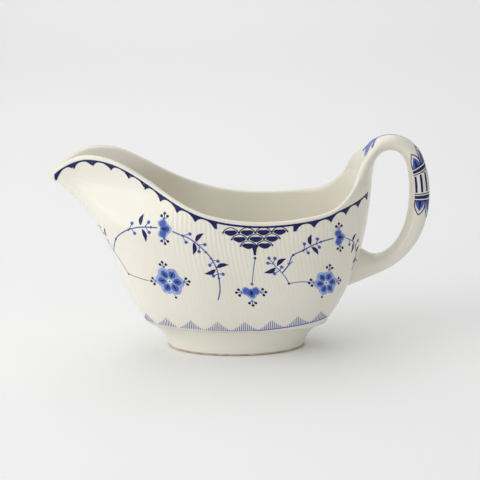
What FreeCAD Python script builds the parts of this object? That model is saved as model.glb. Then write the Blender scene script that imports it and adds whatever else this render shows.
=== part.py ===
import FreeCAD, Part
import math
import os
from FreeCAD import Rotation, Vector

# A boat-shaped porcelain cream jug. X runs along it, with the spout at -X and the
# handle at +X. It is symmetric about Y = 0 and stands on Z = 0. Millimetres.

SIZES = [
    # foot and floor
    ("foot_length", 71.2),
    ("foot_width", 45.4),
    ("foot_centre", -1.6),
    ("foot_rim", 3.4),
    ("shoulder_height", 14.3),
    ("shoulder_length", 95.4),
    ("shoulder_width", 56.0),
    ("flare_power", 2.6),
    ("recess_depth", 6.5),
    ("floor_height", 9.8),
    ("joint_ledge", 2.6),
    # body
    ("wall", 3.0),
    ("belly_width", 87.0),
    ("belly_centre", -10.0),
    ("tip_reach", -99.0),
    ("tip_height", 90.4),
    ("lip_slope", 2.0),
    ("back_reach", 69.3),
    ("back_fullness", 0.28),
    ("pinch_start", 65.0),
    ("pinch_end", 98.0),
    ("pinch_outside", 0.88),
    ("pinch_inside", 0.98),
    # rim
    ("lip_height", 104.0),
    ("waist_height", 74.6),
    ("horn_height", 111.6),
    ("blank_top", 116.0),
    # handle
    ("handle_half_width", 6.4),
    ("root_half_width", 8.5),
    ("lute", 0.5),
]

SECTION_HEIGHTS = [24, 34, 46, 58, 67, 75, 83, 90, 97, 106]
SECTION_POINTS = 40
FLARE_STEPS = 5
INSIDE_FOOT = "Sizes.foot_{0} / 2 - Sizes.foot_rim"

# Height and half-thickness of the handle at each ring, from the horn over the top
# and down to the lower root: along X, up Z, half the thickness in the loop's plane.
HANDLE_RINGS = [
    (60.5, 96.3, 6.4),
    (67.2, 102.2, 5.7),
    (76.0, 107.5, 4.5),
    (85.4, 105.4, 4.6),
    (91.6, 96.4, 4.9),
    (93.7, 84.0, 5.2),
    (93.2, 73.0, 5.2),
    (90.6, 62.8, 4.8),
    (85.4, 54.2, 4.3),
    (77.6, 47.2, 4.4),
    (68.0, 43.0, 5.8),
    (60.5, 41.2, 7.4),
    (52.0, 40.2, 7.4),
]


def make_sheet(doc):
    """Put the driving dimensions in a spreadsheet, one alias a row."""
    sheet = doc.addObject("Spreadsheet::Sheet", "Sizes")
    for row, (alias, value) in enumerate(SIZES, start=1):
        sheet.set(f"A{row}", alias)
        sheet.set(f"B{row}", str(value))
        sheet.setAlias(f"B{row}", alias)
    doc.recompute()
    return sheet


def bezier_at_height(poles, height):
    """X of a cubic side profile where it passes a height, going on straight past its end."""
    if height >= poles[3][1]:
        run = poles[3][0] - poles[2][0]
        rise = poles[3][1] - poles[2][1]
        return poles[3][0] + run / rise * (height - poles[3][1])
    low, high = 0.0, 1.0
    for _ in range(40):
        middle = (low + high) / 2
        if bezier_value(poles, middle, 1) < height:
            low = middle
        else:
            high = middle
    return bezier_value(poles, low, 0)


def bezier_value(poles, step, axis):
    rest = 1 - step
    weights = (rest ** 3, 3 * rest ** 2 * step, 3 * rest * step ** 2, step ** 3)
    return sum(weight * pole[axis] for weight, pole in zip(weights, poles))


def smooth_step(value):
    value = min(1.0, max(0.0, value))
    return value * value * (3 - 2 * value)


class BodyForm:
    """The body's outside as horizontal egg sections, pinched to a channel at the lip."""

    def __init__(self, sheet):
        self.sheet = sheet
        low = sheet.shoulder_height
        spout_foot = sheet.foot_centre - sheet.shoulder_length / 2
        back_foot = sheet.foot_centre + sheet.shoulder_length / 2
        neck_drop = 16.0
        neck_x = sheet.tip_reach + sheet.lip_slope * neck_drop
        self.keel = [(spout_foot, low), (-66, 36), (neck_x, sheet.tip_height - neck_drop),
                     (sheet.tip_reach, sheet.tip_height)]
        self.back = [(back_foot, low), (62, 36), (68.5, 62), (sheet.back_reach, 107)]
        self.side = [(sheet.shoulder_width / 2, low), (38.5, 36), (42.5, 62),
                     (sheet.belly_width / 2, 107)]

    def slant(self, poles, height):
        """Horizontal distance through the wall for one unit square through it."""
        step = 0.5
        run = bezier_at_height(poles, height + step) - bezier_at_height(poles, height - step)
        return math.hypot(1, run / (2 * step))

    def section(self, height, inset, pinch):
        """One horizontal section as a closed wire, inset from the outside."""
        sheet = self.sheet
        probe = max(height, sheet.shoulder_height + 0.5)
        nose = bezier_at_height(self.keel, probe) + inset * self.slant(self.keel, probe)
        back = bezier_at_height(self.back, probe) - inset * self.slant(self.back, probe)
        half = bezier_at_height(self.side, probe) - inset * self.slant(self.side, probe)
        rise = smooth_step((height - sheet.shoulder_height) / (75 - sheet.shoulder_height))
        centre = sheet.foot_centre + rise * (sheet.belly_centre - sheet.foot_centre)
        narrow = pinch * smooth_step((height - sheet.pinch_start)
                                     / (sheet.pinch_end - sheet.pinch_start))
        points = []
        for index in range(SECTION_POINTS):
            angle = 2 * math.pi * index / SECTION_POINTS
            along = math.cos(angle)
            across = half * math.sin(angle)
            if along < 0:
                across *= 1 - narrow * math.sin(math.pi * along / 2) ** 2
                reach = centre - nose
            else:
                across *= 1 + sheet.back_fullness * along ** 2
                reach = back - centre
            points.append(Vector(centre + along * reach, across, height))
        return closed_wire(points)


def closed_wire(points):
    curve = Part.BSplineCurve()
    curve.interpolate(Points=points, PeriodicFlag=True)
    return Part.Wire(curve.toShape())


def feature(doc, name, shape):
    piece = doc.addObject("Part::Feature", name)
    piece.Shape = shape
    piece.Placement = FreeCAD.Placement()
    return piece


def body_blank(doc, name, form, grow):
    """The body's outside from the shoulder up, grown by a little where asked."""
    sheet = form.sheet
    heights = [sheet.shoulder_height] + SECTION_HEIGHTS + [sheet.blank_top]
    wires = [form.section(height, -grow, sheet.pinch_outside) for height in heights]
    return feature(doc, name, Part.makeLoft(wires, True))


def body_hollow(doc, form):
    """The inside of the body from the shoulder up."""
    sheet = form.sheet
    heights = [sheet.shoulder_height] + SECTION_HEIGHTS + [sheet.blank_top]
    wires = [form.section(height, sheet.wall, sheet.pinch_inside) for height in heights]
    return feature(doc, "body_hollow", Part.makeLoft(wires, True))


def ellipse(doc, name, half, height):
    """A level ellipse on the foot's centre; {0} in half stands for length, then width."""
    ring = doc.addObject("Part::Ellipse", name)
    ring.setExpression("MajorRadius", half.format("length"))
    ring.setExpression("MinorRadius", half.format("width"))
    ring.setExpression("Placement.Base.x", "Sizes.foot_centre")
    ring.setExpression("Placement.Base.z", height)
    return ring


def loft(doc, name, rings):
    piece = doc.addObject("Part::Loft", name)
    piece.Sections = rings
    piece.Solid = True
    return piece


def boolean(doc, kind, name, base, tool):
    piece = doc.addObject(kind, name)
    piece.Base = base
    piece.Tool = tool
    return piece


def tapered(doc, name, low_half, low, high_half, high):
    """An oval plug between two level ellipses."""
    rings = [ellipse(doc, name + "_low", low_half, low),
             ellipse(doc, name + "_high", high_half, high)]
    return loft(doc, name, rings)


def rim_line(sheet):
    """The rim seen from the side: tip, lip, waist and the horn that the handle leaves."""
    waist = sheet.waist_height
    horn = sheet.horn_height
    spots = [
        (sheet.tip_reach - 6, sheet.tip_height - 9),
        (sheet.tip_reach, sheet.tip_height),
        (-92.4, 97.4),
        (-83.2, sheet.lip_height - 1.3),
        (-74.8, sheet.lip_height),
        (-62.6, sheet.lip_height - 2.5),
        (-46.0, 92.6),
        (-26.0, 81.6),
        (-6.0, waist + 1.4),
        (14.0, waist),
        (36.0, waist + 1.8),
        (50.3, waist + 6.6),
        (59.4, horn - 20.0),
        (63.0, horn - 12.6),
        (66.0, horn - 6.0),
        (72.0, horn),
    ]
    curve = Part.BSplineCurve()
    curve.interpolate([Vector(along, 0, up) for along, up in spots])
    return curve.toShape()


def under_rim(doc, sheet):
    """Everything below the rim line, as wide as the body and more."""
    line = rim_line(sheet)
    start = line.valueAt(line.FirstParameter)
    end = line.valueAt(line.LastParameter)
    reach = sheet.belly_width
    corners = [end, Vector(reach, 0, end.z), Vector(reach, 0, -1), Vector(start.x, 0, -1), start]
    edges = [line] + [Part.makeLine(one, two) for one, two in zip(corners, corners[1:])]
    face = Part.Face(Part.Wire(edges))
    face.translate(Vector(0, -reach, 0))
    return feature(doc, "under_rim", face.extrude(Vector(0, 2 * reach, 0)))


def make_bowl(doc, sheet, form):
    """Body wall, spout and floor: one casting, open at the top."""
    outside = body_blank(doc, "body_outside", form, 0)
    dish = tapered(doc, "dish", INSIDE_FOOT, "Sizes.recess_depth",
                   "Sizes.shoulder_{0} / 2 - Sizes.joint_ledge", "Sizes.shoulder_height")
    hollow = body_hollow(doc, form)
    well = tapered(doc, "well", INSIDE_FOOT + " - Sizes.wall", "Sizes.floor_height",
                   "Sizes.shoulder_{0} / 2 - 2 * Sizes.wall", "Sizes.shoulder_height")
    doc.recompute()
    solid = boolean(doc, "Part::Fuse", "bowl_solid", outside, dish)
    space = boolean(doc, "Part::Fuse", "bowl_space", hollow, well)
    shell = boolean(doc, "Part::Cut", "bowl_shell", solid, space)
    bowl = boolean(doc, "Part::Common", "bowl", shell, under_rim(doc, sheet))
    bowl.Label = "bowl"
    return bowl


def make_foot(doc, bowl_dish):
    """The oval foot ring, flaring out to the shoulder round the bowl's floor."""
    rings = []
    for index in range(FLARE_STEPS):
        share = index / (FLARE_STEPS - 1)
        spread = f"(0.25 * {share} + 0.75 * {share} ^ Sizes.flare_power)"
        half = "Sizes.foot_{0} / 2 + (Sizes.shoulder_{0} - Sizes.foot_{0}) / 2 * " + spread
        rings.append(ellipse(doc, f"foot_ring_{index}", half, f"Sizes.shoulder_height * {share}"))
    flare = loft(doc, "foot_flare", rings)
    recess = tapered(doc, "recess", INSIDE_FOOT, "0", INSIDE_FOOT, "Sizes.recess_depth")
    doc.recompute()
    ring = boolean(doc, "Part::Cut", "foot_less_recess", flare, recess)
    foot = boolean(doc, "Part::Cut", "foot_ring", ring, bowl_dish)
    foot.Label = "foot_ring"
    return foot


def handle_blank(doc):
    """The loop handle as oval rings along its centre line, run on into the body."""
    spine = Part.BSplineCurve()
    spine.interpolate([Vector(along, 0, up) for along, up, _ in HANDLE_RINGS])
    rings = []
    for index, (along, up, half) in enumerate(HANDLE_RINGS):
        centre = Vector(along, 0, up)
        heading = spine.tangent(spine.parameter(centre))[0]
        ring = doc.addObject("Part::Ellipse", f"handle_ring_{index}")
        at_root = index == 0 or index > len(HANDLE_RINGS) - 3
        width = "Sizes.root_half_width" if at_root else "Sizes.handle_half_width"
        ring.setExpression("MajorRadius", width)
        ring.MinorRadius = half
        turn = Rotation(Vector(0, 1, 0), Vector(-heading.z, 0, heading.x), heading, "XZY")
        ring.Placement = FreeCAD.Placement(centre, turn)
        rings.append(ring)
    return loft(doc, "handle_blank", rings)


def make_handle(doc, form):
    """The handle, and the thin beds of slip that hold its two ends to the body."""
    blank = handle_blank(doc)
    grown = body_blank(doc, "body_grown", form, form.sheet.lute)
    outside = doc.getObject("body_outside")
    doc.recompute()
    handle = boolean(doc, "Part::Cut", "handle", blank, grown)
    handle.Label = "handle"
    stubs = blank.Shape.common(grown.Shape).cut(outside.Shape)
    low, high = sorted(stubs.Solids, key=lambda solid: solid.CenterOfMass.z)
    return [handle, feature(doc, "handle_bottom_lute", low), feature(doc, "handle_top_lute", high)]


def check_and_write(doc, pieces):
    """Stop on any failed object, then write one STEP file for each sub-part."""
    doc.recompute()
    for thing in doc.Objects:
        if "Invalid" in thing.State or "Error" in thing.State:
            raise RuntimeError(f"{thing.Name} failed: {thing.State}")
    os.makedirs("parts", exist_ok=True)
    for piece in pieces:
        shape = piece.Shape
        if shape.isNull() or not shape.isValid():
            raise RuntimeError(f"{piece.Label} has no valid shape")
        shape.exportStep(f"parts/{piece.Label}.step")
        print(piece.Label, len(shape.Solids), "solid(s)", round(shape.Area), "mm2 of surface")


def main():
    doc = FreeCAD.newDocument("cream_jug")
    sheet = make_sheet(doc)
    form = BodyForm(sheet)
    bowl = make_bowl(doc, sheet, form)
    foot = make_foot(doc, doc.getObject("dish"))
    check_and_write(doc, [bowl, foot] + make_handle(doc, form))


main()
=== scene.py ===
import math

import bmesh
import bpy
import numpy as np
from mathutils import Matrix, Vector


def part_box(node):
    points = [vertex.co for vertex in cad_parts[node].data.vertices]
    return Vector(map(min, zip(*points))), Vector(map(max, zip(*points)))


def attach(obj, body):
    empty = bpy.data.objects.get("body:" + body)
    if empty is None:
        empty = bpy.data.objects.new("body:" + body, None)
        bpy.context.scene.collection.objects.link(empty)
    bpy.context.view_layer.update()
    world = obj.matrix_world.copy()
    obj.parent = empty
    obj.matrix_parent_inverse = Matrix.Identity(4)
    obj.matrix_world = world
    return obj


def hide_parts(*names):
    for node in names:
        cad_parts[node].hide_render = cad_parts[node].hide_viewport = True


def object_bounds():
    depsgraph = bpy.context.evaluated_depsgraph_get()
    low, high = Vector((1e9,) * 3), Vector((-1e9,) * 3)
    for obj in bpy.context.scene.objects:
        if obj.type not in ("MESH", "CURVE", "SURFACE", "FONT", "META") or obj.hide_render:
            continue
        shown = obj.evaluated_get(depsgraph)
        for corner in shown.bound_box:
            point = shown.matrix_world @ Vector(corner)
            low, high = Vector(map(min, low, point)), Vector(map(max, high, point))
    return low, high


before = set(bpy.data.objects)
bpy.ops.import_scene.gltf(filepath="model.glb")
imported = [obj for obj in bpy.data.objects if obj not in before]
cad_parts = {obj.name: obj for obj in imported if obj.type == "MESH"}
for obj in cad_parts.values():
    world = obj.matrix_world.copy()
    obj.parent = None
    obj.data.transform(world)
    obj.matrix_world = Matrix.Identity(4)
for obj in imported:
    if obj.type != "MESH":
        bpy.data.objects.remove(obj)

# A boat-shaped cream jug: spout at -X, handle at +X, mirrored in Y = 0, standing on Z = 0.
# Shapes are worked out in design millimetres, then scaled to the frame's own length.
DESIGN_LENGTH = 198.0
CAD_LOW, CAD_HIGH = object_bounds()
UNIT = (CAD_HIGH.x - CAD_LOW.x) / DESIGN_LENGTH


def design_box(node):
    """A CAD node's corners in design millimetres."""
    low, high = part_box(node)
    return low / UNIT, high / UNIT


BOWL_LOW, BOWL_HIGH = design_box("bowl")
FOOT_LOW, FOOT_HIGH = design_box("foot_ring")

TIP_X = BOWL_LOW.x
BACK_X = BOWL_HIGH.x
SHOULDER_Z = FOOT_HIGH.z
FOOT_X = (FOOT_LOW.x + FOOT_HIGH.x) / 2
SHOULDER_LENGTH = FOOT_HIGH.x - FOOT_LOW.x
SHOULDER_WIDTH = FOOT_HIGH.y - FOOT_LOW.y
FOOT_LENGTH = 71.2
FOOT_WIDTH = 45.4
TIP_Z = 90.4
LIP_Z = 104.0
WAIST_Z = 74.6
HORN_Z = 111.6
RECESS_Z = 6.5
FLOOR_Z = 9.8
WALL = 3.0
PINCH = 0.88
INSIDE_PINCH = 0.98
BELLY_X = -10.0
BACK_FULLNESS = 0.28
FLUTE_DEPTH = 0.15

# ---------------------------------------------------------------- outlines


class Profile:
    """A side outline as X against height: one cubic curve, then straight on past its end."""

    def __init__(self, poles):
        step = np.linspace(0, 1, 400)[:, None]
        weights = np.hstack([(1 - step) ** 3, 3 * (1 - step) ** 2 * step,
                             3 * (1 - step) * step ** 2, step ** 3])
        self.x, self.z = (weights @ np.array(poles, float)).T
        self.slope = (self.x[-1] - self.x[-2]) / (self.z[-1] - self.z[-2])

    def __call__(self, height):
        past = np.maximum(height - self.z[-1], 0)
        return np.interp(height, self.z, self.x) + past * self.slope

    def slant(self, height):
        """Horizontal distance through one unit of wall."""
        return np.hypot(1, self(height + 0.5) - self(height - 0.5))


KEEL = Profile([(FOOT_X - SHOULDER_LENGTH / 2, SHOULDER_Z), (-66, 36),
                (TIP_X + 32, TIP_Z - 16), (TIP_X, TIP_Z)])
BACK = Profile([(FOOT_X + SHOULDER_LENGTH / 2, SHOULDER_Z), (62, 36), (68.5, 62), (BACK_X, 107)])
SIDE = Profile([(SHOULDER_WIDTH / 2, SHOULDER_Z), (38.5, 36), (42.5, 62), (43.5, 107)])


def spline(knots, at):
    """Natural cubic spline through evenly stepped knots; at runs from 0 to 1."""
    knots = np.asarray(knots, float)
    count = len(knots)
    system = np.zeros((count, count))
    right = np.zeros_like(knots)
    system[0, 0] = system[-1, -1] = 1
    for row in range(1, count - 1):
        system[row, row - 1:row + 2] = 1, 4, 1
        right[row] = 6 * (knots[row - 1] - 2 * knots[row] + knots[row + 1])
    bend = np.linalg.solve(system, right)
    place = np.clip(np.asarray(at, float), 0, 1) * (count - 1)
    low = np.minimum(place.astype(int), count - 2)
    ahead = place - low
    if knots.ndim > 1:
        ahead = ahead[:, None]
    behind = 1 - ahead
    return (behind * knots[low] + ahead * knots[low + 1]
            + (behind ** 3 - behind) * bend[low] / 6 + (ahead ** 3 - ahead) * bend[low + 1] / 6)


def smooth_step(value):
    """0 to 1 with level ends."""
    value = np.clip(value, 0, 1)
    return value * value * (3 - 2 * value)


# The rim from the side: past the tip, over the lip, down to the waist and up the horn.
RIM_SPOTS = [(-105, TIP_Z - 9), (TIP_X, TIP_Z), (-92.4, 97.4), (-83.2, LIP_Z - 1.3),
             (-74.8, LIP_Z), (-62.6, LIP_Z - 2.5), (-46, 92.6), (-26, 81.6),
             (-6, WAIST_Z + 1.4), (14, WAIST_Z), (36, WAIST_Z + 1.8), (50.3, WAIST_Z + 6.6),
             (59.4, HORN_Z - 20.0), (63, HORN_Z - 12.6), (66, HORN_Z - 6.0), (72, HORN_Z)]
RIM_X, RIM_Z = spline(RIM_SPOTS, np.linspace(0, 1, 800)).T
HORN_CUT = 92.5


def rim_height(along):
    """Height of the rim at an X. The horn's top is left to the handle's root."""
    return np.minimum(np.interp(along, RIM_X, RIM_Z), np.where(along > 50, HORN_CUT, 200))


def section(angle, height, inset=0.0, pinch=PINCH):
    """X and Y of the body at an angle round it (0 at the handle, pi at the spout) and a height."""
    probe = np.maximum(height, SHOULDER_Z + 0.5)
    nose = KEEL(probe) + inset * KEEL.slant(probe)
    back = BACK(probe) - inset * BACK.slant(probe)
    half = SIDE(probe) - inset * SIDE.slant(probe)
    rise = smooth_step((height - SHOULDER_Z) / (75 - SHOULDER_Z))
    centre = FOOT_X + rise * (BELLY_X - FOOT_X)
    narrow = pinch * smooth_step((height - 65) / 33)
    along = np.cos(angle)
    across = np.sin(angle)
    front = along < 0
    squeeze = 1 - narrow * np.sin(np.pi * along / 2) ** 2
    reach = np.where(front, centre - nose, back - centre)
    full = 1 + BACK_FULLNESS * along ** 2
    return centre + along * reach, half * across * np.where(front, squeeze, full)


def rim_at(angle, inset=0.0, pinch=PINCH):
    """Height at which a column of the body meets the rim line."""
    low = np.full_like(angle, 55.0)
    high = np.full_like(angle, 112.0)
    for _ in range(30):
        middle = (low + high) / 2
        under = middle < rim_height(section(angle, middle, inset, pinch)[0])
        low = np.where(under, middle, low)
        high = np.where(under, high, middle)
    return low


# A place on the body's side is its reach, the distance round the section at its own height
# from the widest line (positive towards the handle), and its height.
HEIGHTS = np.linspace(SHOULDER_Z, 113, 200)
HALF_TURN = np.linspace(0, np.pi, 1501)
REACHES = np.linspace(-150, 130, 561)


def reach_tables():
    """Reach at each height and angle, and the other way round, angle at each height and reach."""
    reaches, angles = [], []
    for height in HEIGHTS:
        along, across = section(HALF_TURN, np.full_like(HALF_TURN, height))
        run = np.concatenate([[0], np.cumsum(np.hypot(np.diff(along), np.diff(across)))])
        reach = np.interp(np.pi / 2, HALF_TURN, run) - run
        reaches.append(reach)
        angles.append(np.interp(REACHES, reach[::-1], HALF_TURN[::-1]))
    return np.array(reaches), np.array(angles)


REACH_TABLE, ANGLE_TABLE = reach_tables()


def look_up(table, columns, height, value):
    """Value of a table whose rows are HEIGHTS, between its four nearest entries."""
    row = np.clip((height - HEIGHTS[0]) / (HEIGHTS[1] - HEIGHTS[0]), 0, len(HEIGHTS) - 1.001)
    column = np.clip((value - columns[0]) / (columns[1] - columns[0]), 0, len(columns) - 1.001)
    low, left = row.astype(int), column.astype(int)
    up, right = row - low, column - left
    return ((1 - up) * ((1 - right) * table[low, left] + right * table[low, left + 1])
            + up * ((1 - right) * table[low + 1, left] + right * table[low + 1, left + 1]))


# Flutes are narrow on the belly and at the handle, and wider towards the lip.
FLUTE_COUNT = np.concatenate([[0], np.cumsum(np.diff(REACHES) / np.interp(
    REACHES[1:], [-60, -45, -5], [3.1, 2.7, 2.3]))])


def flute(reach, height, rim):
    """Depth of the fluting: full near the rim, faint low down, none on the rim itself."""
    ridge = 0.5 + 0.5 * np.cos(2 * np.pi * np.interp(reach, REACHES, FLUTE_COUNT))
    below = np.clip((rim - height - 1.0) / 3, 0, 1)
    fade = 0.25 + 0.75 * smooth_step((height - rim + 45) / 35)
    return FLUTE_DEPTH * ridge ** 1.5 * smooth_step(below) * fade


def outside(angle, height, rim, lift=0.0):
    """Points on the body's glazed outside, flutes included, or lifted a little off it."""
    along, across = section(angle, height)
    ahead = section(angle + 1e-3, height)
    run = np.stack([ahead[0] - along, ahead[1] - across], 1)
    run /= np.linalg.norm(run, axis=1)[:, None]
    folded = np.pi - np.abs(np.pi - angle)
    reach = look_up(REACH_TABLE, HALF_TURN, height, folded)
    depth = flute(reach, height, rim) - lift
    return np.stack([along - run[:, 1] * depth, across + run[:, 0] * depth, height], 1)


def inside(angle, height):
    """Points on the body's smooth inside."""
    return np.stack([*section(angle, height, WALL, INSIDE_PINCH), height], 1)


# ---------------------------------------------------------------- mesh helpers


def add_mesh(name, points, faces, material):
    """A smooth mesh object from design-millimetre points, with its faces turned outwards."""
    mesh = bpy.data.meshes.new(name)
    mesh.from_pydata((np.asarray(points) * UNIT).tolist(), [], faces)
    mesh.materials.append(material)
    shell = bmesh.new()
    shell.from_mesh(mesh)
    bmesh.ops.recalc_face_normals(shell, faces=shell.faces)
    shell.to_mesh(mesh)
    shell.free()
    piece = bpy.data.objects.new(name, mesh)
    bpy.context.scene.collection.objects.link(piece)
    mesh.polygons.foreach_set("use_smooth", [True] * len(mesh.polygons))
    return piece


def grid_faces(rows, columns):
    """Quads of a tube of rows, each a closed ring of columns."""
    faces = []
    for row in range(rows - 1):
        base = row * columns
        for column in range(columns):
            after = (column + 1) % columns
            faces.append((base + column, base + after,
                          base + columns + after, base + columns + column))
    return faces


def closed_tube(name, rings, material):
    """A tube of rings, each with the same count of points, capped at both ends."""
    columns = len(rings[0])
    points = np.vstack(rings)
    faces = grid_faces(len(rings), columns)
    last = len(points)
    points = np.vstack([points, rings[0].mean(0), rings[-1].mean(0)])
    top = (len(rings) - 1) * columns
    for column in range(columns):
        after = (column + 1) % columns
        faces.append((after, column, last))
        faces.append((top + column, top + after, last + 1))
    return add_mesh(name, points, faces, material)


# ---------------------------------------------------------------- pieces

BODY_COLUMNS = 960
RIM_LEVEL = 80.0
RIM_SETBACK = 1.3
RIM_ROUNDING = 0.62
WELL_Z = 20.0


def body_columns():
    """Angles of the body's columns, evenly spaced round its section near the rim."""
    level = np.full(4001, RIM_LEVEL)
    turn = np.linspace(0, 2 * np.pi, len(level))
    along, across = section(turn, level)
    run = np.concatenate([[0], np.cumsum(np.hypot(np.diff(along), np.diff(across)))])
    return np.interp(np.arange(BODY_COLUMNS) / BODY_COLUMNS, run / run[-1], turn)


def make_bowl(material):
    """The body: underside, fluted outside, rounded rim and smooth inside, as one closed skin."""
    angle = body_columns()
    rim = rim_at(angle)
    rim_in = rim_at(angle, WALL, INSIDE_PINCH)
    rings = []
    edge_x, edge_y = section(angle, np.full_like(angle, SHOULDER_Z))
    for scale, height in ((0.3, RECESS_Z), (0.6, RECESS_Z), (0.67, RECESS_Z + 0.2),
                          (0.9, SHOULDER_Z - 1.0), (0.945, SHOULDER_Z - 0.1)):
        rings.append(np.stack([FOOT_X + (edge_x - FOOT_X) * scale, edge_y * scale,
                               np.full_like(angle, height)], 1))
    below = outside(angle, rim - 0.5, rim)
    slant = np.linalg.norm(outside(angle, rim, rim) - below, axis=1) / 0.5
    setback = RIM_SETBACK / slant
    for step in np.linspace(0, 1, 62):
        height = SHOULDER_Z + (rim - setback - SHOULDER_Z) * step
        rings.append(outside(angle, height, rim))
    outer = rings[-1]
    lower = outside(angle, rim - setback - 0.5, rim)
    inner_low = rim_in - setback
    inner = inside(angle, inner_low)
    inner_lower = inside(angle, inner_low - 0.5)
    gap = np.linalg.norm(inner - outer, axis=1)[:, None]
    up_out = (outer - lower) / np.linalg.norm(outer - lower, axis=1)[:, None]
    up_in = (inner - inner_lower) / np.linalg.norm(inner - inner_lower, axis=1)[:, None]
    lift = RIM_ROUNDING * gap
    for step in np.linspace(0, 1, 11)[1:]:
        rest = 1 - step
        rings.append(rest ** 3 * outer + 3 * rest ** 2 * step * (outer + up_out * lift)
                     + 3 * rest * step ** 2 * (inner + up_in * lift) + step ** 3 * inner)
    for step in np.linspace(0, 1, 34)[1:]:
        rings.append(inside(angle, inner_low + (WELL_Z - inner_low) * step))
    low_x, low_y = rings[-1][:, 0], rings[-1][:, 1]
    for scale in np.linspace(1, 0, 14)[1:-1]:
        height = FLOOR_Z + (WELL_Z - FLOOR_Z) * scale ** 4.5
        rings.append(np.stack([FOOT_X + (low_x - FOOT_X) * scale, low_y * scale,
                               np.full_like(angle, height)], 1))
    return closed_tube("jug_body", rings, material)


FOOT_EDGE = 2.2
FOOT_EDGE_Z = 1.29
FOOT_RIM = 8.4


def make_foot(material):
    """The flared foot ring, with a softened resting edge and its recess."""
    turn = np.linspace(0, 2 * np.pi, 361)[:-1]
    rings = []

    def oval(length, width, height):
        rings.append(np.stack([FOOT_X + length / 2 * np.cos(turn), width / 2 * np.sin(turn),
                               np.full_like(turn, height)], 1))

    oval(SHOULDER_LENGTH - 9, SHOULDER_WIDTH - 9, SHOULDER_Z - 3)
    oval(SHOULDER_LENGTH - 3, SHOULDER_WIDTH - 3, SHOULDER_Z - 0.6)
    for share in np.linspace(1, 0.09, 26):
        grow = 0.25 * share + 0.75 * share ** 2.6
        oval(FOOT_LENGTH + (SHOULDER_LENGTH - FOOT_LENGTH) * grow,
             FOOT_WIDTH + (SHOULDER_WIDTH - FOOT_WIDTH) * grow, SHOULDER_Z * share)
    quarter = np.linspace(0, math.pi / 2, 6)
    for step in quarter[1:]:
        cut = FOOT_EDGE * (1 - math.cos(step))
        oval(FOOT_LENGTH - cut, FOOT_WIDTH - cut, FOOT_EDGE_Z * (1 - math.sin(step)))
    for step in quarter:
        cut = FOOT_RIM - FOOT_EDGE * math.cos(step)
        oval(FOOT_LENGTH - cut, FOOT_WIDTH - cut, FOOT_EDGE / 2 * math.sin(step))
    for height in np.linspace(1.6, RECESS_Z + 2.0, 8):
        oval(FOOT_LENGTH - FOOT_RIM, FOOT_WIDTH - FOOT_RIM, height)
    columns = len(turn)
    faces = grid_faces(len(rings), columns)
    start = (len(rings) - 1) * columns
    for column in range(columns):
        after = (column + 1) % columns
        faces.append((column, after, start + after, start + column))
    return add_mesh("jug_foot", np.vstack(rings), faces, material)


# Handle: for each stop along it, the loop's inner side (X, Z), its outer side (X, Z),
# half its width, and how far it follows the bend of the body's wall (1 all the way).
HANDLE_STOPS = [
    (68.1, 82.0, 65.6, 82.0, 29.6, 1.0),
    (68.5, 88.0, 65.8, 88.0, 27.9, 1.0),
    (69.0, 92.4, 65.6, 92.6, 25.3, 1.0),
    (69.5, 96.4, 65.3, 97.4, 22.0, 1.0),
    (70.8, 100.2, 65.8, 103.4, 16.4, 0.85),
    (74.4, 103.2, 69.8, 109.4, 9.4, 0.4),
    (80.0, 103.6, 78.6, 112.0, 6.9, 0.1),
    (84.6, 100.6, 89.2, 108.3, 6.3, 0),
    (87.4, 93.6, 95.6, 99.0, 6.2, 0),
    (88.5, 84.0, 98.7, 86.0, 6.2, 0),
    (88.2, 74.0, 98.7, 73.0, 6.2, 0),
    (86.2, 64.0, 95.8, 60.8, 6.2, 0),
    (82.2, 55.8, 89.8, 50.6, 6.2, 0),
    (76.6, 50.2, 81.0, 42.6, 6.3, 0),
    (71.0, 48.6, 71.2, 37.6, 6.8, 0.1),
    (66.0, 50.4, 63.4, 34.2, 8.0, 0.4),
    (60.0, 54.0, 56.0, 31.0, 9.0, 0.6),
]
HANDLE_ROWS = 160
# A ring's points: on half of one long side, and round one edge. The long sides take up the
# turns within the sweep of each side's middle.
RING_SIDE = 12
RING_END = 12
RING_SWEEP = math.radians(48)


def wall_strip(reach, height):
    """The wall's middle line, a distance round it from the back: X from the back, Y, normal."""
    angle = np.linspace(0, 1.4, 400)
    along, width = section(angle, np.full_like(angle, height), WALL / 2)
    run = np.concatenate([[0], np.cumsum(np.hypot(np.diff(along), np.diff(width)))])
    size = np.abs(reach)
    side = np.sign(reach)
    lean_x = np.interp(size + 0.3, run, width) - np.interp(size, run, width)
    lean_y = np.interp(size, run, along) - np.interp(size + 0.3, run, along)
    long = np.hypot(lean_x, lean_y)
    return (np.interp(size, run, along) - along[0], side * np.interp(size, run, width),
            lean_x / long, side * lean_y / long)


def ring_shape(turn, half, half_width, flat):
    """Across and up on a ring's outline: an oval, or where flat is 1 a strip with round edges."""
    turn = (turn + RING_SWEEP) % (2 * np.pi) - RING_SWEEP
    beyond = turn >= np.pi - RING_SWEEP
    sign = np.where(beyond, -1, 1)
    turn = turn - np.pi * beyond
    arc = np.clip((turn - RING_SWEEP) / (np.pi - 2 * RING_SWEEP), 0, 1) * np.pi
    straight = max(half_width - half, 0.4)
    strip_across = np.clip(turn / RING_SWEEP, -1, 1) * straight + half * np.sin(arc)
    across = (1 - flat) * half_width * np.sin(turn) + flat * strip_across
    up = (1 - flat) * half * np.cos(turn) + flat * half * np.cos(arc)
    return sign * across, sign * up


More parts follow.
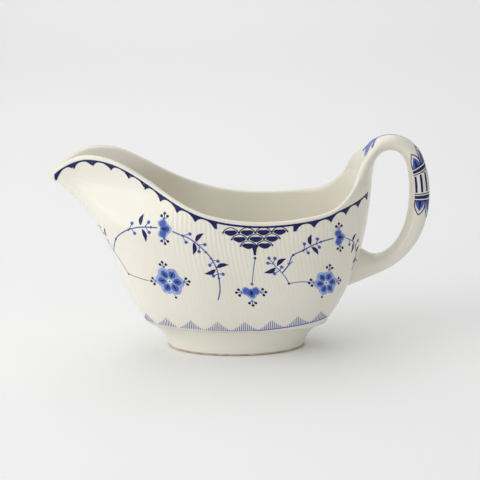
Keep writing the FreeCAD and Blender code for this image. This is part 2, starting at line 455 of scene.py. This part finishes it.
def handle_ring(share, turn, lift=0.0):
    """Points of the handle at a share of its length and at turns round it from its inner side."""
    stop = spline(HANDLE_STOPS, [share])[0]
    inner, outer, half_width, follow = stop[0:2], stop[2:4], stop[4], stop[5]
    half = np.linalg.norm(inner - outer) / 2
    normal = (inner - outer) / (2 * half)
    middle = (inner + outer) / 2
    flat = 1 - smooth_step((share - 0.16) / 0.16)
    across, up = ring_shape(turn, half + lift, half_width + lift, flat)
    bend, round_y, normal_x, normal_y = wall_strip(across, middle[1])
    away = up * (1 - follow + follow * normal_x)
    return np.stack([middle[0] + normal[0] * away + follow * bend,
                     (1 - follow) * across + follow * (round_y + normal_y * up),
                     middle[1] + normal[1] * away], 1)


def ring_turns():
    """Turns of a ring's points: evenly over each long side, then over each round edge."""
    side = -RING_SWEEP + 2 * RING_SWEEP * np.arange(2 * RING_SIDE) / (2 * RING_SIDE)
    edge = RING_SWEEP + (np.pi - 2 * RING_SWEEP) * np.arange(RING_END) / RING_END
    half = np.concatenate([side, edge])
    return np.concatenate([half, half + np.pi])


def mirrored(index):
    """The point of a handle's ring straight across from one on its inner side."""
    return 4 * RING_SIDE + RING_END - index


def make_handle(material):
    """The loop handle, growing out of the horn above and spreading onto the wall below."""
    turn = ring_turns()
    rings = [handle_ring(share, turn) for share in np.linspace(0, 1, HANDLE_ROWS)]
    columns = len(turn)
    faces = grid_faces(len(rings), columns)
    last = (len(rings) - 1) * columns
    for index in range(-RING_END // 2, 2 * RING_SIDE + RING_END // 2):
        across = [index, index + 1, mirrored(index + 1), mirrored(index)]
        across = list(dict.fromkeys(corner % columns for corner in across))
        if len(across) > 2:
            faces.append(tuple(across))
            faces.append(tuple(last + corner for corner in across))
    return add_mesh("jug_handle", np.vstack(rings), faces, material)


def make_bare_edge(material):
    """The thin unglazed line round the foot, where it rests."""
    turn = np.linspace(0, 2 * np.pi, 241)[:-1]
    rings = []
    for grow, height in ((0.12, 0.30), (0.12, 1.05), (-0.6, 1.05), (-0.6, 0.30), (0.12, 0.30)):
        rings.append(np.stack([FOOT_X + (FOOT_LENGTH / 2 + grow + height * 0.12) * np.cos(turn),
                               (FOOT_WIDTH / 2 + grow + height * 0.12) * np.sin(turn),
                               np.full_like(turn, height)], 1))
    columns = len(turn)
    faces = grid_faces(len(rings) - 1, columns)
    start = 3 * columns
    faces += [(start + k, start + (k + 1) % columns, (k + 1) % columns, k) for k in range(columns)]
    return add_mesh("foot_bare_edge", np.vstack(rings[:-1]), faces, material)


# ---------------------------------------------------------------- blue decoration
# Under-glaze blue, as thin closed films of three tones that lie on the surface. On the body
# a place is (reach, height); on the handle it is (distance round, distance along) from the
# middle of its outer face. The motifs' places are lists that a scratch program worked out from
# positions in the reference picture; they aren't worked out from the frame.

NAVY, MID, PALE = "navy", "mid", "pale"
LIFTS = {PALE: 0.030, MID: 0.050, NAVY: 0.070}
FILM_DEPTH = 0.15


def body_surface(reach, height, lift):
    """Points on the near side of the body."""
    angle = look_up(ANGLE_TABLE, REACHES, height, reach)
    return outside(angle, height, rim_at(angle), lift) * (1, -1, 1)


# Distance round the handle for each radian of a ring's turn, and the strap's middle height.
HANDLE_GIRTH = 5.7
STRAP_HEIGHT = 87.0


def handle_run():
    """Shares of the handle's length against distance along its middle from the strap."""
    shares = np.linspace(0, 1, 500)
    stops = spline(HANDLE_STOPS, shares)
    middle = (stops[:, 0:2] + stops[:, 2:4]) / 2
    run = np.concatenate([[0], np.cumsum(np.linalg.norm(np.diff(middle, axis=0), axis=1))])
    outer = shares > 0.35
    strap = np.interp(-STRAP_HEIGHT, -middle[outer, 1], run[outer])
    return strap - run, shares


HANDLE_RUN, HANDLE_SHARE = handle_run()


def handle_surface(around, along, lift):
    """Points on the handle, around from its outer face and along towards the horn."""
    shares = np.interp(along, HANDLE_RUN[::-1], HANDLE_SHARE[::-1])
    turns = np.pi - around / HANDLE_GIRTH
    return np.vstack([handle_ring(share, np.array([turn]), lift)
                      for share, turn in zip(shares, turns)])


class Films:
    """Films of one surface, gathered by tone."""

    def __init__(self, surface):
        self.surface = surface
        self.points = {NAVY: [], MID: [], PALE: []}
        self.faces = {NAVY: [], MID: [], PALE: []}

    def patch(self, tone, first, second):
        """One closed film from a grid of places."""
        rows, columns = first.shape
        spots = (first.ravel(), second.ravel())
        top = self.surface(*spots, LIFTS[tone])
        base = self.surface(*spots, -FILM_DEPTH)
        start = sum(len(points) for points in self.points[tone])
        self.points[tone] += [top, base]
        count = rows * columns
        faces = self.faces[tone]
        for row in range(rows - 1):
            for column in range(columns - 1):
                corner = start + row * columns + column
                quad = (corner, corner + 1, corner + columns + 1, corner + columns)
                faces.append(quad)
                faces.append(tuple(point + count for point in reversed(quad)))
        border = ([column for column in range(columns)]
                  + [row * columns + columns - 1 for row in range(1, rows)]
                  + [(rows - 1) * columns + column for column in range(columns - 2, -1, -1)]
                  + [row * columns for row in range(rows - 2, 0, -1)])
        for one, two in zip(border, border[1:] + border[:1]):
            faces.append((start + one, start + one + count, start + two + count, start + two))

    def stroke(self, tone, path, widths):
        """A brush stroke along a smooth path, as wide as the given widths in turn."""
        path = np.array(path, float)
        length = np.linalg.norm(np.diff(path, axis=0), axis=1).sum()
        share = np.linspace(0, 1, max(5, int(length / 0.45) + 1))
        line = spline(path, share) if len(path) > 2 else path[0] + share[:, None] * (path[1] - path[0])
        width = np.interp(share, np.linspace(0, 1, len(widths)), widths)
        ahead = np.gradient(line, axis=0)
        ahead /= np.linalg.norm(ahead, axis=1)[:, None]
        columns = max(2, int(max(widths) / 0.5) + 2)
        offset = width[:, None] * np.linspace(-0.5, 0.5, columns)
        self.patch(tone, line[:, :1] - ahead[:, 1:] * offset, line[:, 1:] + ahead[:, :1] * offset)

    def blob(self, tone, start, end, width):
        """A rounded petal or berry from one place to another."""
        self.stroke(tone, [start, end], width * np.sin(np.linspace(0.06, np.pi - 0.06, 15)) ** 0.6)

    def dot(self, tone, spot, size):
        """A round dot about a place."""
        spot = np.array(spot, float)
        self.blob(tone, spot - (size / 2, 0), spot + (size / 2, 0), size)

    def leaf(self, start, end, width=2.2):
        """A pointed leaf with a slight curl."""
        start, end = np.array(start, float), np.array(end, float)
        side = np.array([start[1] - end[1], end[0] - start[0]])
        middle = (start + end) / 2 + 0.12 * side
        self.stroke(NAVY, [start, middle, end], width * np.array([0.15, 0.75, 1.0, 0.9, 0.5, 0.08]))

    def stamens(self, root, heading, spread=1.7, length=2.6):
        """Three short hairs with dots on their ends, fanned about a heading in degrees."""
        root = np.array(root, float)
        for fan, stretch in ((-1, 0.9), (0, 1.15), (1, 0.9)):
            turn = math.radians(heading + fan * 26 * spread)
            tip = root + length * stretch * np.array([math.cos(turn), math.sin(turn)])
            self.stroke(MID, [root, tip], [0.4, 0.4])
            self.dot(NAVY, tip, 1.55)

    def vine(self, path, width=0.62):
        """A thin stem of one width."""
        self.stroke(MID, path, [width, width])

    def berries(self, pairs):
        """Berries on short stalks: each from a place on the vine."""
        for root, spot in pairs:
            self.stroke(MID, [root, spot], [0.4, 0.4])
            self.dot(MID, spot, 1.85)

    def rosette(self, centre, radius):
        """A six-petalled flower with pale edges, darker hearts and an open eye."""
        centre = np.array(centre, float)
        for step in range(6):
            turn = math.radians(60 * step)
            way = np.array([math.cos(turn), math.sin(turn)])
            self.blob(PALE, centre + 0.16 * radius * way, centre + 1.04 * radius * way, 0.92 * radius)
            self.blob(MID, centre + 0.26 * radius * way, centre + 0.84 * radius * way, 0.50 * radius)
            self.stroke(NAVY, [centre + 0.36 * radius * way, centre + 0.70 * radius * way],
                        [0.3, 0.16 * radius, 0.3])
        self.dot(NAVY, centre, 0.9)

    def bell(self, centre, size, heading):
        """A side-on flower: two lobes and a rounded petal in front, facing a heading."""
        centre = np.array(centre, float)
        turn = math.radians(heading)
        way = np.array([math.cos(turn), math.sin(turn)])
        side = np.array([-way[1], way[0]])
        for hand in (1, -1):
            root = centre - 0.30 * size * way + 0.05 * hand * size * side
            tip = centre + (0.02 * way + 0.98 * hand * side) * size
            self.blob(PALE, root, tip, 1.08 * size)
            self.blob(MID, root + 0.10 * (tip - root), tip - 0.12 * (tip - root), 0.76 * size)
        self.blob(PALE, centre - 0.45 * size * way, centre + 0.84 * size * way, 1.10 * size)
        self.blob(MID, centre - 0.36 * size * way, centre + 0.62 * size * way, 0.78 * size)
        self.blob(NAVY, centre - 0.22 * size * way, centre + 0.34 * size * way, 0.34 * size)
        self.stamens(centre + 0.95 * size * side, heading + 90)
        self.stamens(centre - 0.95 * size * side, heading - 90)

    def pieces(self, name, materials, both_sides):
        """One mesh object for each tone, with the far side's copy where asked."""
        made = []
        for tone, material in materials.items():
            if not self.points[tone]:
                continue
            points = np.vstack(self.points[tone])
            faces = list(self.faces[tone])
            if both_sides:
                faces += [tuple(corner + len(points) for corner in face) for face in faces]
                points = np.vstack([points, points * (1, -1, 1)])
            made.append(add_mesh(name + "_" + tone, points, faces, material))
        return made


def rim_over():
    """Reach and height of the rim, from the spout to the handle."""
    angle = np.linspace(np.pi - 0.002, 0.01, 600)
    rim = rim_at(angle)
    return look_up(REACH_TABLE, HALF_TURN, rim, angle), rim


RIM_REACH, RIM_UP = rim_over()


def border_line(reach):
    """The border's line: close under the rim, but it doesn't climb the horn."""
    under = np.interp(reach, RIM_REACH, RIM_UP) - 1.9
    return np.where(reach > 45, np.minimum(under, 76.0 + 0.26 * (reach - 52)), under)


def scallop(films, cusps):
    """A line with a dark tooth at each cusp and a hollow arc between each two."""
    reach = np.arange(cusps[0] - 1.5, cusps[-1] + 1.5, 0.35)
    place = np.interp(reach, cusps, np.arange(len(cusps)))
    from_middle = np.abs(2 * (place % 1) - 1)
    top = border_line(reach) + 0.3
    bottom = top - 0.95 - 3.1 * from_middle ** 2.6
    share = np.linspace(0, 1, 5)
    films.patch(NAVY, np.repeat(reach[:, None], 5, 1),
                bottom[:, None] + (top - bottom)[:, None] * share)


def fish_scales(films):
    """An inverted triangle of scales: dark hollows between pale outlined half-discs."""
    middle, width, drop = 16.2, 8.2, 3.5
    line = np.arange(-4.5, 38.6, 0.5)
    top = border_line(line)
    films.patch(NAVY, np.stack([line, line], 1), np.stack([top - 0.75, top + 0.3], 1))
    for row, count in enumerate((4, 3, 2)):
        height = 72.2 - drop * row
        for index in range(count):
            left = middle + width * (index - count / 2)
            films.stroke(NAVY, [(left, height - drop * 0.8), (left + width * 0.16, height - 0.9),
                                (left + width / 2, height + 0.2), (left + width * 0.84, height - 0.9),
                                (left + width, height - drop * 0.8)], [0.9, 0.45, 0.4, 0.45, 0.9])
            films.stroke(NAVY, [(left + width / 2, height - drop * 1.15),
                                (left + width / 2, height - drop * 0.34)], [1.4, 4.4, 6.2, 6.4, 4.2])
    films.stroke(NAVY, [(middle - 1, 63.2), (middle - 1.6, 57.8)], [4.2, 2.3, 1.5, 1.3])


def hanging_flower(films):
    """The dot, thin stem and half flower below the panel."""
    films.dot(NAVY, (14.4, 56.2), 1.5)
    films.vine([(14.2, 55.5), (12.2, 49), (10.3, 42.6)], 0.4)
    films.dot(MID, (10.2, 42.2), 1.6)
    films.bell((8.9, 37.6), 4.7, -90)
    films.stamens((8.6, 33.2), -90)


def left_spray(films):
    """The spray on the spout's side: two vines, a bell flower and a rosette."""
    films.vine([(-76, 66.5), (-72.5, 62), (-69, 57), (-67, 53.8)], 0.4)
    for spot in ((-76, 66.5), (-73, 66.5), (-72, 63), (-70, 59.5)):
        films.dot(MID, spot, 1.2)
    films.leaf((-69.5, 62), (-67.8, 67), 1.5)
    films.vine([(-67, 53.8), (-60.5, 62), (-54.5, 66.5), (-49.5, 69), (-42.5, 70.8), (-33.5, 71.2)])
    films.dot(NAVY, (-60.5, 62), 1.2)
    films.dot(MID, (-37, 71.2), 1.4)
    films.dot(MID, (-50, 68.8), 1.4)
    films.leaf((-42.8, 71.8), (-41.6, 77.2))
    films.leaf((-42, 70), (-40.5, 63.4))
    films.berries([((-49.5, 69), (-47.8, 72.2)), ((-48, 69.4), (-46.4, 67.3)),
                   ((-40.5, 71), (-38.4, 73.6)), ((-40, 71), (-38, 68.6))])
    films.bell((-30, 70.9), 4.9, 0)
    films.vine([(-25.5, 69.9), (-20.5, 68), (-15.5, 65.5), (-10, 60), (-7.5, 56), (-6, 51),
                (-5.8, 45.5), (-6.6, 39), (-8.6, 33.5)])
    films.berries([((-20.5, 68), (-16.6, 69)), ((-20.5, 68), (-19, 64.6)), ((-13, 63.4), (-9.6, 63.6)),
                   ((-12.5, 62.8), (-13.1, 59.8)), ((-7.4, 55.4), (-4.5, 54.8)),
                   ((-7.2, 54.4), (-9, 52.6)), ((-5.8, 48), (-3.3, 47.8)), ((-5.8, 48), (-8.3, 46.8))])
    for spot in ((-20.5, 68), (-9.8, 59.6), (-7.6, 56.2), (-5.8, 45.6)):
        films.dot(MID, spot, 1.4)
    films.leaf((-14, 65), (-9.6, 69.4))
    films.leaf((-15.2, 64.6), (-16.4, 58.2))
    films.leaf((-5.8, 51.2), (0.6, 52.8))
    films.leaf((-6.6, 50.4), (-12.6, 48))
    films.vine([(-67, 53.8), (-62.5, 49), (-58.6, 42.8)], 0.45)
    films.dot(NAVY, (-58.6, 42.8), 1.2)
    films.vine([(-58.6, 42.8), (-52, 42.2), (-44.5, 41.4)], 0.4)
    films.rosette((-32, 42.6), 7.6)
    films.stamens((-33.4, 50), 95)
    films.stamens((-24.4, 43), 5)
    films.stamens((-39.8, 41.8), 185)
    films.stroke(MID, [(-31.2, 36), (-30.6, 34)], [0.3, 0.3])
    films.dot(NAVY, (-30.5, 33.6), 1.4)


def right_spray(films):
    """The spray on the handle's side, much the same the other way about."""
    films.vine([(26.6, 47.8), (30.2, 51.4), (32, 54.4), (34, 57.2), (38.5, 59), (43.5, 61.2), (50, 63.3),
                (57, 64.3)])
    films.dot(NAVY, (34, 57.2), 1.2)
    films.dot(MID, (49.6, 63.2), 1.4)
    films.dot(MID, (39.6, 59.4), 1.4)
    films.leaf((43.8, 62), (44.8, 67.6))
    films.leaf((44.2, 60.8), (47.2, 56.4))
    films.berries([((40.5, 60), (40.6, 62.8)), ((41, 60), (42, 57.9)),
                   ((47, 62.4), (47.8, 64.9)), ((47, 62.2), (48.4, 60.4))])
    for spot in ((30.4, 53.4), (33.2, 53.8)):
        films.stroke(MID, [(31, 52), spot], [0.4, 0.4])
    films.bell((60.6, 64.4), 4.6, 0)
    films.vine([(64.6, 63.5), (68.6, 61.6), (71.8, 59), (74, 53.4), (73.4, 48.2), (70.5, 43.6)], 0.45)
    films.leaf((70, 60.6), (73.6, 64.2), 1.5)
    films.leaf((70.6, 59.6), (68.6, 54.2), 1.5)
    films.leaf((74, 53.4), (77.4, 56.6), 1.5)
    films.leaf((73.8, 51), (70.6, 47.8), 1.5)
    films.berries([((67.5, 62.2), (67.4, 59.4)), ((72.6, 57.4), (75.6, 60)), ((73.6, 49.4), (76.2, 48))])
    films.vine([(26.6, 47.8), (28.2, 44.6), (29, 41.8)], 0.45)
    films.dot(NAVY, (29, 41.8), 1.3)
    films.vine([(29, 41.8), (34.5, 42.4), (39.6, 42)], 0.4)
    films.vine([(26.6, 47.8), (24, 51.4), (22.4, 54)], 0.45)
    films.leaf((24.8, 51.8), (30, 55.4))
    films.leaf((23.8, 50.8), (17.6, 48.4))
    films.berries([((23, 53), (21.4, 56)), ((23, 53), (24.4, 55.8)), ((23, 52.8), (20.4, 53.4)),
                   ((25.6, 49.2), (27, 51)), ((25.2, 49), (22.6, 47.6))])
    films.rosette((49.4, 40.2), 6.9)
    films.stamens((52.2, 47), 75)
    films.stamens((56.2, 40), 0)
    films.stamens((42.6, 41.4), 180)
    films.stroke(MID, [(46.8, 34.4), (46, 32.8)], [0.3, 0.3])
    films.dot(NAVY, (45.8, 32.4), 1.3)


def hatch_border(films):
    """Fine upright strokes in a row of points, standing on a line round the shoulder."""
    def base(reach):
        return 15.0 + 3.2 * smooth_step((reach - 2) / 50)

    reach = np.arange(-60, 52.1, 0.6)
    films.patch(MID, np.stack([reach, reach], 1),
                np.stack([base(reach) - 0.25, base(reach) + 0.25], 1))
    pitch = 13.9
    for spot in np.arange(-59.5, 51.6, 1.0):
        off = abs((spot + 52.4 + pitch / 2) % pitch - pitch / 2) / (pitch / 2)
        tall = 0.6 + 5.2 * (1 - off) ** 1.3
        films.stroke(MID, [(spot, base(spot)), (spot, base(spot) + tall)], [0.42, 0.42, 0.3])


def strap(films):
    """The pattern across the handle's outer face: bars, bands and petals above and below."""
    edge = 12.4
    around = np.arange(-edge, edge + 0.1, 0.6)
    for hand in (1, -1):
        for near, far, tone in ((5.2, 5.7, NAVY), (6.3, 8.0, NAVY), (8.6, 9.1, NAVY)):
            films.patch(tone, np.stack([around, around], 1),
                        np.stack([np.full_like(around, hand * near), np.full_like(around, hand * far)], 1))
        for index in range(-2, 2):
            middle = 6.2 * (index + 0.5)
            tip = hand * (18.0 - 0.9 * abs(index + 0.5))
            for side in (-1, 1):
                films.stroke(NAVY, [(middle + side * 2.9, hand * 8.9), (middle + side * 2.6, hand * 13),
                                    (middle, tip)], [0.6, 0.6, 0.5])
            films.stroke(MID, [(middle, hand * 9.0), (middle, tip - hand * 2.2)], [5.2, 4.9, 3.9, 2.2, 0.4])
            films.stroke(NAVY, [(middle, hand * 9.2), (middle, hand * 12.8)], [1.8, 1.3, 0.3])
    for index in range(-4, 4):
        middle = 3.25 * (index + 0.5)
        films.stroke(NAVY, [(middle, -4.6), (middle, 4.6)], [1.2, 1.35, 1.35, 1.2])


def root_strokes(films):
    """Three comma strokes on top of the horn that run into a thin line over the handle."""
    films.stroke(MID, [(0, 33.5), (0, 27), (0, 19)], [0.9, 0.7, 0.3])
    for hand in (-1, 1):
        for start in ((hand * 0.9, 43.5), (hand * 2.9, 42.0), (hand * 4.9, 37.5)):
            films.stroke(MID, [start, (start[0] * 0.6, start[1] * 0.5 + 17.5), (0, 33.2)],
                         [0.5, 1.5, 1.0, 0.5])


def decorate_body(materials):
    """All the blue on the body's near side, and its mirror image on the far side."""
    films = Films(body_surface)
    scallop(films, [-94, -84.5, -72.5, -62, -52, -42.5, -33, -23.4, -13.8, -4.2])
    scallop(films, [37, 46.5, 55.9, 65, 74.3, 83.6])
    fish_scales(films)
    hanging_flower(films)
    left_spray(films)
    right_spray(films)
    hatch_border(films)
    return films.pieces("body_print", materials, True)


def decorate_handle(materials):
    """The blue on the handle: the strap and the strokes at its root."""
    films = Films(handle_surface)
    strap(films)
    root_strokes(films)
    return films.pieces("handle_print", materials, False)


# ---------------------------------------------------------------- materials


class Surface:
    """A node material in the making: its shader, and what feeds it."""

    def __init__(self, name):
        self.material = bpy.data.materials.new(name)
        self.material.use_nodes = True
        self.nodes = self.material.node_tree.nodes
        self.links = self.material.node_tree.links
        self.shader = self.nodes["Principled BSDF"]

    def set(self, values):
        """Values that are the same all over the surface."""
        for socket, value in values.items():
            self.shader.inputs[socket].default_value = value

    def noise(self, scale, detail):
        """Noise in the object's own space."""
        place = self.nodes.new("ShaderNodeTexCoord")
        texture = self.nodes.new("ShaderNodeTexNoise")
        texture.inputs["Scale"].default_value = scale
        texture.inputs["Detail"].default_value = detail
        self.links.new(place.outputs["Object"], texture.inputs["Vector"])
        return texture.outputs["Fac"]

    def tint(self, value, stops):
        """Base colour that runs between two stops, each a position and a colour."""
        ramp = self.nodes.new("ShaderNodeValToRGB")
        for element, (position, colour) in zip(ramp.color_ramp.elements, stops):
            element.position = position
            element.color = (*colour, 1)
        self.links.new(value, ramp.inputs["Fac"])
        self.links.new(ramp.outputs["Color"], self.shader.inputs["Base Color"])

    def roughness(self, value, low, high):
        """Roughness that runs between two numbers."""
        spread = self.nodes.new("ShaderNodeMapRange")
        spread.inputs["To Min"].default_value = low
        spread.inputs["To Max"].default_value = high
        self.links.new(value, spread.inputs["Value"])
        self.links.new(spread.outputs["Result"], self.shader.inputs["Roughness"])

    def bump(self, value, strength, distance):
        """Small relief, its distance in metres."""
        relief = self.nodes.new("ShaderNodeBump")
        relief.inputs["Strength"].default_value = strength
        relief.inputs["Distance"].default_value = distance
        self.links.new(value, relief.inputs["Height"])
        self.links.new(relief.outputs["Normal"], self.shader.inputs["Normal"])


def glaze(name, seed):
    """Cream-white porcelain under a clear glaze, with a faint warm cloudiness and ripple."""
    surface = Surface(name)
    cloud = surface.noise(28.0 + seed, 4.0)
    surface.tint(cloud, [(0.3, (0.775, 0.738, 0.640)), (0.7, (0.810, 0.782, 0.700))])
    surface.roughness(cloud, 0.13, 0.20)
    surface.bump(surface.noise(160.0, 2.0), 0.12, 0.0004)
    surface.set({"IOR": 1.5, "Subsurface Weight": 0.12, "Subsurface Scale": 1.0,
                 "Subsurface Radius": (0.004, 0.003, 0.002)})
    return surface.material


def cobalt(name, colour):
    """Blue under the glaze, mottled where the colour pooled or ran thin."""
    surface = Surface(name)
    pooled = [0.72 * part for part in colour]
    thin = [min(1, 1.25 * part) for part in colour]
    surface.tint(surface.noise(620.0, 3.0), [(0.32, pooled), (0.68, thin)])
    surface.set({"Roughness": 0.22, "IOR": 1.5, "Specular IOR Level": 0.25})
    return surface.material


def clay(name):
    """Bare fired clay: matt and grainy, browner in patches where it has rubbed."""
    surface = Surface(name)
    grain = surface.noise(220.0, 6.0)
    surface.tint(grain, [(0.35, (0.430, 0.330, 0.225)), (0.65, (0.640, 0.550, 0.430))])
    surface.bump(grain, 0.25, 0.0003)
    surface.set({"Roughness": 0.8})
    return surface.material


# ---------------------------------------------------------------- scene


def aim(thing, target):
    """Turn a camera or light to face a place."""
    thing.rotation_euler = (Vector(target) - thing.location).to_track_quat("-Z", "Y").to_euler()


IMAGE_SIDE = 480
MM_PER_PIXEL = 0.5236


def make_camera():
    """The view: almost square on to the jug's side, a little above it."""
    distance = 900 * UNIT
    azimuth = math.radians(-2.0)
    elevation = math.radians(13.0)
    target = Vector((0.15, 0, 56.5)) * UNIT
    back = Vector((math.sin(azimuth) * math.cos(elevation),
                   -math.cos(azimuth) * math.cos(elevation), math.sin(elevation)))
    data = bpy.data.cameras.new("camera")
    camera = bpy.data.objects.new("camera", data)
    bpy.context.scene.collection.objects.link(camera)
    camera.location = target + back * distance
    aim(camera, target)
    frame_width = IMAGE_SIDE * MM_PER_PIXEL * UNIT
    data.sensor_width = 36
    data.lens = 36 * distance / frame_width
    data.clip_start = 0.01
    bpy.context.scene.camera = camera


def area_light(name, place, target, size, power):
    """A square soft light, facing a place."""
    data = bpy.data.lights.new(name, "AREA")
    data.shape = "SQUARE"
    data.size = size
    data.energy = power
    light = bpy.data.objects.new(name, data)
    bpy.context.scene.collection.objects.link(light)
    light.location = place
    aim(light, target)


def make_studio():
    """A pale sweep, a large soft key light from the upper left, light from above and weak fill."""
    floor = Surface("studio_floor")
    floor.set({"Base Color": (0.90, 0.905, 0.90, 1), "Roughness": 0.7})
    half_width, front, back, bend, top = 3.0, -1.5, 1.2, 0.6, 2.4
    rows = [(front, 0), (back, 0)]
    for step in np.linspace(0, math.pi / 2, 12)[1:]:
        rows.append((back + bend * math.sin(step), bend * (1 - math.cos(step))))
    rows.append((back + bend, top))
    points = []
    for depth, height in rows:
        points += [(-half_width, depth, height), (half_width, depth, height)]
    faces = [(2 * i, 2 * i + 1, 2 * i + 3, 2 * i + 2) for i in range(len(rows) - 1)]
    mesh = bpy.data.meshes.new("sweep")
    mesh.from_pydata(points, [], faces)
    mesh.materials.append(floor.material)
    mesh.polygons.foreach_set("use_smooth", [True] * len(mesh.polygons))
    sweep = bpy.data.objects.new("sweep", mesh)
    bpy.context.scene.collection.objects.link(sweep)
    centre = (0, 0, 0.05)
    area_light("key", (-1.05, -0.55, 0.55), centre, 1.3, 10.5)
    area_light("top", (-0.1, 0.3, 1.3), centre, 1.2, 4.4)
    area_light("fill", (0.3, -1.2, 0.5), centre, 0.8, 0.5)
    area_light("far_floor", (0, 1.3, 1.2), (0, 1.4, 0), 1.0, 3.2)
    world = bpy.data.worlds.new("studio_air")
    world.use_nodes = True
    air = world.node_tree.nodes["Background"]
    air.inputs["Color"].default_value = (1, 1, 1, 1)
    air.inputs["Strength"].default_value = 0.48
    bpy.context.scene.world = world
    bpy.context.scene.view_settings.view_transform = "Standard"


def main():
    """Camera, studio, the three glazed pieces, and what lies on them."""
    make_camera()
    make_studio()
    body = make_bowl(glaze("body_glaze", 0))
    foot = make_foot(glaze("foot_glaze", 3))
    handle = make_handle(glaze("handle_glaze", 6))
    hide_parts("bowl")
    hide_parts("foot_ring")
    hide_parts("handle", "handle_top_lute", "handle_bottom_lute")
    blues = {NAVY: cobalt("cobalt_navy", (0.004, 0.008, 0.095)),
             MID: cobalt("cobalt_mid", (0.060, 0.110, 0.400)),
             PALE: cobalt("cobalt_pale", (0.300, 0.390, 0.690))}
    slots = [(body, "body_glaze"), (foot, "foot_glaze"), (handle, "handle_glaze")]
    slots += [(piece, "body_glaze") for piece in decorate_body(blues)]
    slots += [(piece, "handle_glaze") for piece in decorate_handle(blues)]
    slots.append((make_bare_edge(clay("bare_clay")), "foot_glaze"))
    for piece, slot in slots:
        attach(piece, "root")


main()
